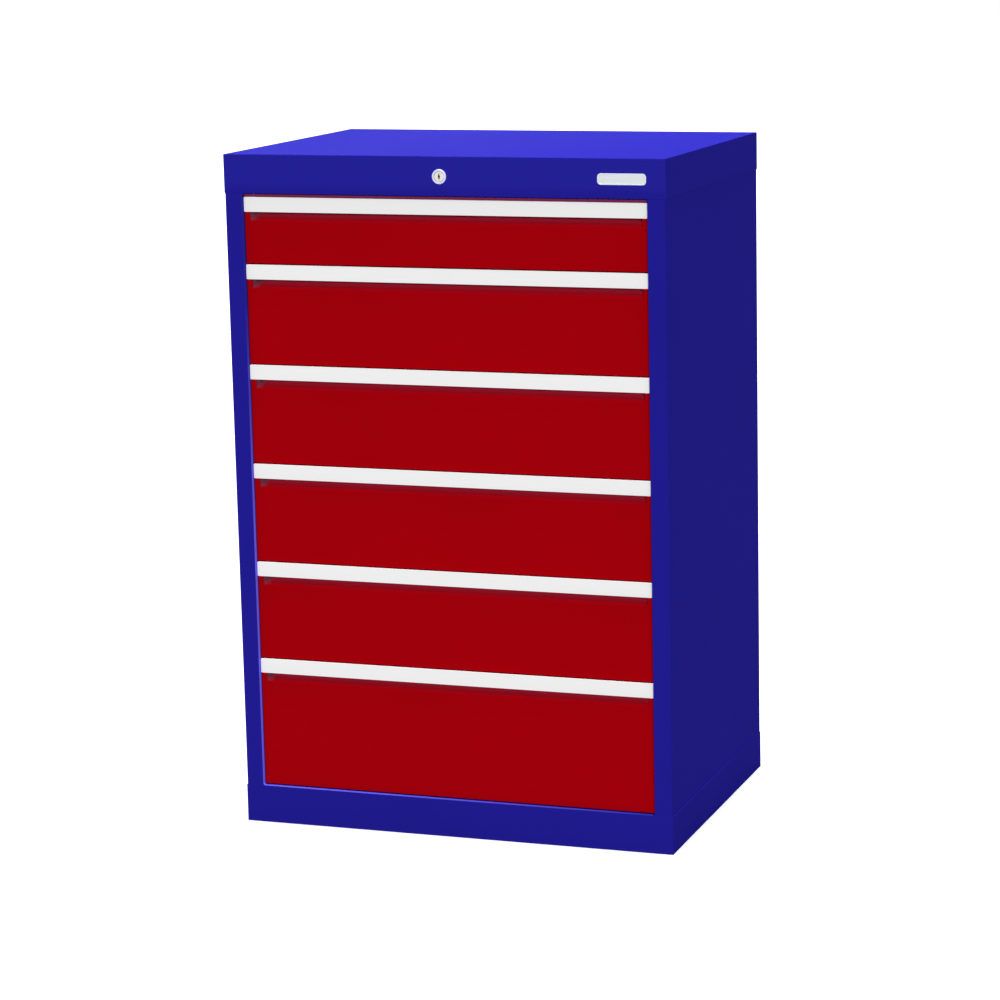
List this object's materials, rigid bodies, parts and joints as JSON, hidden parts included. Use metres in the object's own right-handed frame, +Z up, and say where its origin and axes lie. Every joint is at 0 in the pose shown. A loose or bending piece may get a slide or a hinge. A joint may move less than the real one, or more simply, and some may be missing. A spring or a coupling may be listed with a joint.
{
  "type": "industrial drawer cabinet",
  "caption": "Free-standing steel drawer cabinet with full-width handle strips, full-extension runners and one central lock that bars every drawer.",
  "frame": {"origin": "on the floor, under the middle of the object's bounding box", "axes": "+Z up, +Y from the drawer fronts to the back, +X to the right as seen from the front"},
  "size_m": [0.68, 0.496, 1.019],
  "materials": {
    "body_paint": "blue powder coat, semi-gloss",
    "front_paint": "red powder coat, semi-gloss",
    "handle_strip": "white coated aluminium, satin",
    "box_paint": "light grey powder coat, satin",
    "runner_steel": "bright zinc plate",
    "inner_steel": "galvanised",
    "lock_metal": "nickel plate, polished",
    "nameplate": "bare satin aluminium, no lettering"
  },
  "bodies": {
    "cabinet": {"top_cover": "body_paint", "base": "body_paint", "back_panel": "body_paint", "side_panel_left": "body_paint", "side_panel_right": "body_paint", "upright_front_left": "inner_steel", "upright_front_right": "inner_steel", "upright_rear_left": "inner_steel", "upright_rear_right": "inner_steel", "drawer_1_cabinet_rail_left": "runner_steel", "drawer_1_cabinet_rail_right": "runner_steel", "drawer_2_cabinet_rail_left": "runner_steel", "drawer_2_cabinet_rail_right": "runner_steel", "drawer_3_cabinet_rail_left": "runner_steel", "drawer_3_cabinet_rail_right": "runner_steel", "drawer_4_cabinet_rail_left": "runner_steel", "drawer_4_cabinet_rail_right": "runner_steel", "drawer_5_cabinet_rail_left": "runner_steel", "drawer_5_cabinet_rail_right": "runner_steel", "drawer_6_cabinet_rail_left": "runner_steel", "drawer_6_cabinet_rail_right": "runner_steel", "lock_housing": "lock_metal", "lock_nut": "lock_metal", "spindle_bracket": "inner_steel", "locking_bar_guide_lower": "inner_steel", "locking_bar_guide_upper": "inner_steel", "nameplate": "nameplate"},
    "drawer_1": {"drawer_1_front": "front_paint", "drawer_1_handle_strip": "handle_strip", "drawer_1_box": "box_paint"},
    "drawer_1_middle_runners": {"drawer_1_middle_runner_left": "runner_steel", "drawer_1_middle_runner_right": "runner_steel"},
    "drawer_2": {"drawer_2_front": "front_paint", "drawer_2_handle_strip": "handle_strip", "drawer_2_box": "box_paint"},
    "drawer_2_middle_runners": {"drawer_2_middle_runner_left": "runner_steel", "drawer_2_middle_runner_right": "runner_steel"},
    "drawer_3": {"drawer_3_front": "front_paint", "drawer_3_handle_strip": "handle_strip", "drawer_3_box": "box_paint"},
    "drawer_3_middle_runners": {"drawer_3_middle_runner_left": "runner_steel", "drawer_3_middle_runner_right": "runner_steel"},
    "drawer_4": {"drawer_4_front": "front_paint", "drawer_4_handle_strip": "handle_strip", "drawer_4_box": "box_paint"},
    "drawer_4_middle_runners": {"drawer_4_middle_runner_left": "runner_steel", "drawer_4_middle_runner_right": "runner_steel"},
    "drawer_5": {"drawer_5_front": "front_paint", "drawer_5_handle_strip": "handle_strip", "drawer_5_box": "box_paint"},
    "drawer_5_middle_runners": {"drawer_5_middle_runner_left": "runner_steel", "drawer_5_middle_runner_right": "runner_steel"},
    "drawer_6": {"drawer_6_front": "front_paint", "drawer_6_handle_strip": "handle_strip", "drawer_6_box": "box_paint"},
    "drawer_6_middle_runners": {"drawer_6_middle_runner_left": "runner_steel", "drawer_6_middle_runner_right": "runner_steel"},
    "lock_cylinder": {"lock_plug": "lock_metal", "lock_spindle": "inner_steel"},
    "locking_bar": {"locking_bar": "inner_steel"}
  },
  "joints": [
    {"name": "drawer_1_slide", "type": "slide", "parent": "cabinet", "child": "drawer_1", "axis": [0, -1, 0], "range_m": [0, 0.4]},
    {"name": "drawer_1_runner_slide", "type": "slide", "parent": "cabinet", "child": "drawer_1_middle_runners", "axis": [0, -1, 0], "range_m": [0, 0.2]},
    {"name": "drawer_2_slide", "type": "slide", "parent": "cabinet", "child": "drawer_2", "axis": [0, -1, 0], "range_m": [0, 0.4]},
    {"name": "drawer_2_runner_slide", "type": "slide", "parent": "cabinet", "child": "drawer_2_middle_runners", "axis": [0, -1, 0], "range_m": [0, 0.2]},
    {"name": "drawer_3_slide", "type": "slide", "parent": "cabinet", "child": "drawer_3", "axis": [0, -1, 0], "range_m": [0, 0.4]},
    {"name": "drawer_3_runner_slide", "type": "slide", "parent": "cabinet", "child": "drawer_3_middle_runners", "axis": [0, -1, 0], "range_m": [0, 0.2]},
    {"name": "drawer_4_slide", "type": "slide", "parent": "cabinet", "child": "drawer_4", "axis": [0, -1, 0], "range_m": [0, 0.4]},
    {"name": "drawer_4_runner_slide", "type": "slide", "parent": "cabinet", "child": "drawer_4_middle_runners", "axis": [0, -1, 0], "range_m": [0, 0.2]},
    {"name": "drawer_5_slide", "type": "slide", "parent": "cabinet", "child": "drawer_5", "axis": [0, -1, 0], "range_m": [0, 0.4]},
    {"name": "drawer_5_runner_slide", "type": "slide", "parent": "cabinet", "child": "drawer_5_middle_runners", "axis": [0, -1, 0], "range_m": [0, 0.2]},
    {"name": "drawer_6_slide", "type": "slide", "parent": "cabinet", "child": "drawer_6", "axis": [0, -1, 0], "range_m": [0, 0.4]},
    {"name": "drawer_6_runner_slide", "type": "slide", "parent": "cabinet", "child": "drawer_6_middle_runners", "axis": [0, -1, 0], "range_m": [0, 0.2]},
    {"name": "lock_turn", "type": "hinge", "parent": "cabinet", "child": "lock_cylinder", "pos_m": [0, -0.245, 0.99], "axis": [0, 1, 0], "range_deg": [0, 90]},
    {"name": "locking_bar_drop", "type": "slide", "parent": "cabinet", "child": "locking_bar", "axis": [0, 0, -1], "range_m": [0, 0.01]}
  ],
  "couplings": [
    {"joint": "drawer_1_runner_slide", "follows": "drawer_1_slide", "ratio": 0.5},
    {"joint": "drawer_2_runner_slide", "follows": "drawer_2_slide", "ratio": 0.5},
    {"joint": "drawer_3_runner_slide", "follows": "drawer_3_slide", "ratio": 0.5},
    {"joint": "drawer_4_runner_slide", "follows": "drawer_4_slide", "ratio": 0.5},
    {"joint": "drawer_5_runner_slide", "follows": "drawer_5_slide", "ratio": 0.5},
    {"joint": "drawer_6_runner_slide", "follows": "drawer_6_slide", "ratio": 0.5},
    {"joint": "lock_turn", "follows": "locking_bar_drop", "rad_per_m": 157.08}
  ]
}
